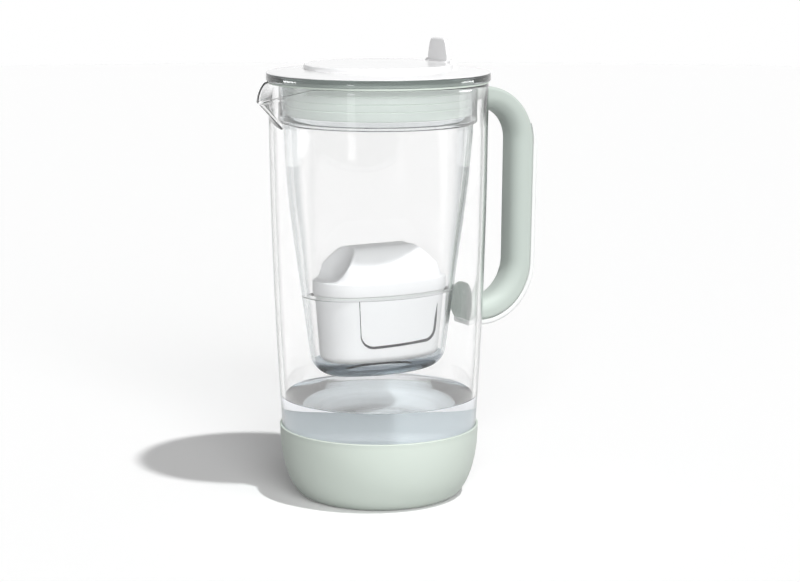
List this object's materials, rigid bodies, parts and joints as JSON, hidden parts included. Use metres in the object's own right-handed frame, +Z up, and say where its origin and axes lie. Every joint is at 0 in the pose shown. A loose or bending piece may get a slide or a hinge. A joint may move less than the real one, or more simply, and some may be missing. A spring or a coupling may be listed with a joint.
{
  "type": "water filter pitcher",
  "caption": "Glass water filter pitcher with a soft foot sleeve, arched handle, clear hopper holding an oval filter cartridge, and a white lid with a thumb-lever fill flap.",
  "frame": {"origin": "centre of the flat underside of the foot sleeve, on the table and on the jug's axis", "axes": "+Z up along the jug's axis, +X towards the handle, so the spout points along -X"},
  "size_m": [0.2032, 0.144, 0.2975],
  "materials": {
    "mint_silicone": "matt moulded silicone",
    "clear_glass": "clear blown glass",
    "sage_grip": "matt soft-touch moulding",
    "clear_rail": "translucent moulding",
    "clear_adhesive": "clear cured adhesive",
    "clear_plastic": "clear polished moulding",
    "cartridge_white": "satin moulding",
    "screen_mesh": "fine woven mesh",
    "granules": "loose granules",
    "lid_white": "semi-gloss moulding",
    "sage_plastic": "semi-gloss moulding",
    "sage_silicone": "matt moulded silicone",
    "pin_steel": "drawn stainless wire"
  },
  "bodies": {
    "jug": {"base_sleeve": "mint_silicone", "glass_jug": "clear_glass", "handle_grip": "sage_grip", "handle_spine": "clear_rail", "handle_bond_pads": "clear_adhesive"},
    "hopper": {"hopper": "clear_plastic", "rim_gasket": "mint_silicone"},
    "cartridge": {"cartridge_shell": "cartridge_white", "cartridge_cap": "cartridge_white", "cartridge_gasket": "mint_silicone", "inlet_screen": "screen_mesh", "outlet_screen": "screen_mesh", "filter_granules": "granules"},
    "lid": {"lid_top": "lid_white", "lid_skirt": "sage_plastic", "lid_seal": "sage_silicone", "flap_hinge_pin": "pin_steel"},
    "flap": {"fill_flap": "lid_white"}
  },
  "joints": [
    {"name": "hopper_lift", "type": "slide", "parent": "jug", "child": "hopper", "axis": [0, 0, 1], "range_m": [0, 0.2]},
    {"name": "cartridge_pull", "type": "slide", "parent": "hopper", "child": "cartridge", "axis": [0, 0, 1], "range_m": [0, 0.1]},
    {"name": "lid_lift", "type": "slide", "parent": "hopper", "child": "lid", "axis": [0, 0, 1], "range_m": [0, 0.08]},
    {"name": "flap_turn", "type": "hinge", "parent": "lid", "child": "flap", "pos_m": [0.046, 0, 0.2815], "axis": [0, 1, 0], "range_deg": [0, 80]}
  ]
}
